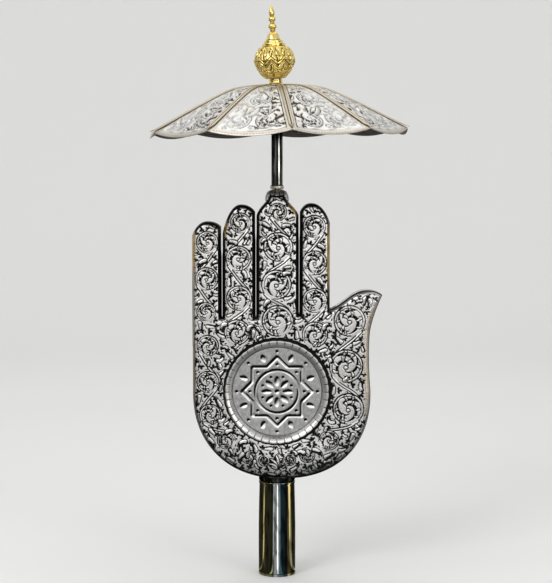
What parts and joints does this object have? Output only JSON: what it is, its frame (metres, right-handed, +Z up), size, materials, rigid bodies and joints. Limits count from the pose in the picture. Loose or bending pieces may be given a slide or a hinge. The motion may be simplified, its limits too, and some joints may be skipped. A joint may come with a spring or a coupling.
{
  "type": "panja alam finial",
  "caption": "Upright open hand of embossed silvered sheet metal on a round pole socket, with a stem, a gored metal umbrella and a gilded ball-and-spire on top.",
  "frame": {"origin": "centre of the pole socket's open lower end, where the pole enters", "axes": "+Z up along the socket and the stem, the palm faces -Y, and the thumb is on the +X side"},
  "size_m": [0.2274, 0.2312, 0.503],
  "materials": {
    "embossed_silver": "silver plated sheet brass, embossed, with blackened grounds",
    "warm_silver": "worn silver plate with the brass showing warm",
    "stippled_silver": "silver plated, matt stippled ground with raised strapwork",
    "polished_nickel": "polished nickel plate",
    "darkened_nickel": "blackened plate",
    "plain_steel": "plain turned steel",
    "gilt_brass": "gilded brass, polished high parts and dark recesses"
  },
  "bodies": {
    "hand": {"pole_socket": "polished_nickel", "socket_plug": "plain_steel", "rod_washer": "plain_steel", "rod_nut": "plain_steel", "tie_rod": "plain_steel", "neck_collar": "darkened_nickel", "core_tube": "plain_steel", "hand_front": "embossed_silver", "hand_back": "embossed_silver", "medallion_plate": "stippled_silver", "medallion_border": "embossed_silver", "stem_cap": "polished_nickel", "stem_collar": "polished_nickel", "stem_tube": "polished_nickel", "canopy_seat": "polished_nickel"},
    "canopy": {"canopy_hub": "embossed_silver", "canopy_crown": "warm_silver", "canopy_panel_01": "embossed_silver", "canopy_rib_01": "warm_silver", "canopy_panel_02": "embossed_silver", "canopy_rib_02": "warm_silver", "canopy_panel_03": "embossed_silver", "canopy_rib_03": "warm_silver", "canopy_panel_04": "embossed_silver", "canopy_rib_04": "warm_silver", "canopy_panel_05": "embossed_silver", "canopy_rib_05": "warm_silver", "canopy_panel_06": "embossed_silver", "canopy_rib_06": "warm_silver", "canopy_panel_07": "embossed_silver", "canopy_rib_07": "warm_silver", "canopy_panel_08": "embossed_silver", "canopy_rib_08": "warm_silver", "canopy_panel_09": "embossed_silver", "canopy_rib_09": "warm_silver", "canopy_panel_10": "embossed_silver", "canopy_rib_10": "warm_silver"},
    "finial": {"finial_foot": "gilt_brass", "finial_nut": "plain_steel", "ball_lower": "gilt_brass", "ball_upper": "gilt_brass", "finial_shoulder": "gilt_brass", "finial_spire": "gilt_brass"}
  },
  "joints": [
    {"name": "canopy_spin", "type": "hinge", "parent": "hand", "child": "canopy", "pos_m": [0, 0, 0.42], "axis": [-0.0175, 0, 0.9998], "continuous": true},
    {"name": "finial_lift", "type": "slide", "parent": "hand", "child": "finial", "axis": [-0.061, 0, 0.9981], "range_m": [0, 0.016]}
  ]
}
